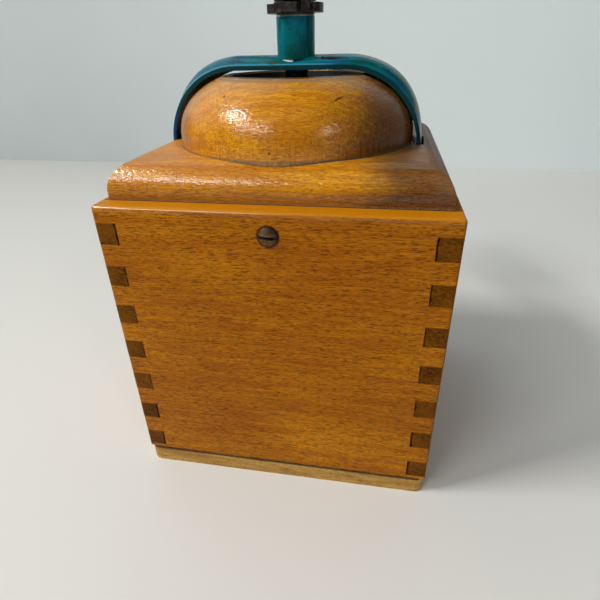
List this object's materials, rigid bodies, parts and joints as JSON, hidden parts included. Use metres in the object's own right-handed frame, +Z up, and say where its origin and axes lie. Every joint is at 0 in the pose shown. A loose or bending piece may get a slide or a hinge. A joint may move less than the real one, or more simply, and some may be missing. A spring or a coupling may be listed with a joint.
{
  "type": "hand crank coffee grinder",
  "caption": "Wooden box coffee mill with a turned hopper ring under an enamelled steel yoke, a crank on top that turns a conical burr set, and a drawer for the grounds.",
  "frame": {"origin": "centre of the underside of the base plate, on the spindle axis", "axes": "+Z up along the spindle, the drawer faces -Y, +X to the right of someone facing the drawer"},
  "size_m": [0.1233, 0.1503, 0.2327],
  "materials": {
    "varnished_beech": "honey-brown gloss varnish over fine-grained beech",
    "raw_beech": "plain planed beech",
    "pale_board": "tan board with a thin matt varnish",
    "teal_enamel": "glossy teal enamel, brushed on",
    "dark_steel": "blackened and lightly worn steel",
    "spindle_steel": "turned steel, dulled",
    "burr_steel": "hardened steel, dull",
    "cast_iron": "raw casting",
    "black_sheet": "black stoved sheet",
    "brass": "turned"
  },
  "bodies": {
    "case": {"base_plate": "pale_board", "back_board": "varnished_beech", "front_board": "varnished_beech", "left_board": "varnished_beech", "right_board": "varnished_beech", "chute_board": "raw_beech", "drawer_runners": "raw_beech", "lid": "varnished_beech", "lid_cleats": "raw_beech", "case_screws": "dark_steel", "base_screws": "dark_steel", "hopper_ring": "varnished_beech", "hopper_liner": "black_sheet", "hopper_screws": "dark_steel", "burr_housing": "cast_iron", "ring_burr": "burr_steel", "housing_screws": "dark_steel", "bearing_bridge": "cast_iron", "bridge_screws": "dark_steel", "yoke": "teal_enamel", "bearing_tube": "teal_enamel", "tube_bush": "brass", "yoke_washers": "dark_steel", "yoke_nuts": "dark_steel"},
    "thrust_washer": {"thrust_washer": "dark_steel"},
    "star_nut": {"star_nut": "dark_steel"},
    "crank": {"spindle": "spindle_steel", "cone_burr": "burr_steel", "cone_pin": "burr_steel", "crank_hub": "dark_steel", "latch_spring": "dark_steel", "crank_arm": "dark_steel", "cap_nut": "dark_steel", "knob_pin": "spindle_steel", "knob_washer": "dark_steel"},
    "knob": {"crank_knob": "varnished_beech"},
    "drawer": {"drawer_front": "varnished_beech", "drawer_left": "raw_beech", "drawer_right": "raw_beech", "drawer_back": "raw_beech", "drawer_bottom": "pale_board", "drawer_knob": "varnished_beech", "drawer_knob_screw": "dark_steel"}
  },
  "joints": [
    {"name": "crank_turn", "type": "hinge", "parent": "case", "child": "thrust_washer", "pos_m": [0, 0, 0.1725], "axis": [0, 0, 1], "continuous": true},
    {"name": "adjuster_turn", "type": "hinge", "parent": "thrust_washer", "child": "star_nut", "pos_m": [0, 0, 0.1745], "axis": [0, 0, 1], "range_deg": [-180, 180]},
    {"name": "grind_gap", "type": "slide", "parent": "thrust_washer", "child": "crank", "axis": [0, 0, 1], "range_m": [-0.0005, 0.0005], "deforming": ["latch_spring"]},
    {"name": "knob_spin", "type": "hinge", "parent": "crank", "child": "knob", "pos_m": [0.05011, -0.07716, 0.21], "axis": [0, 0, 1], "continuous": true},
    {"name": "drawer_slide", "type": "slide", "parent": "case", "child": "drawer", "axis": [0, -1, 0], "range_m": [0, 0.085]}
  ],
  "couplings": [
    {"joint": "adjuster_turn", "follows": "grind_gap", "rad_per_m": 6283.2}
  ]
}
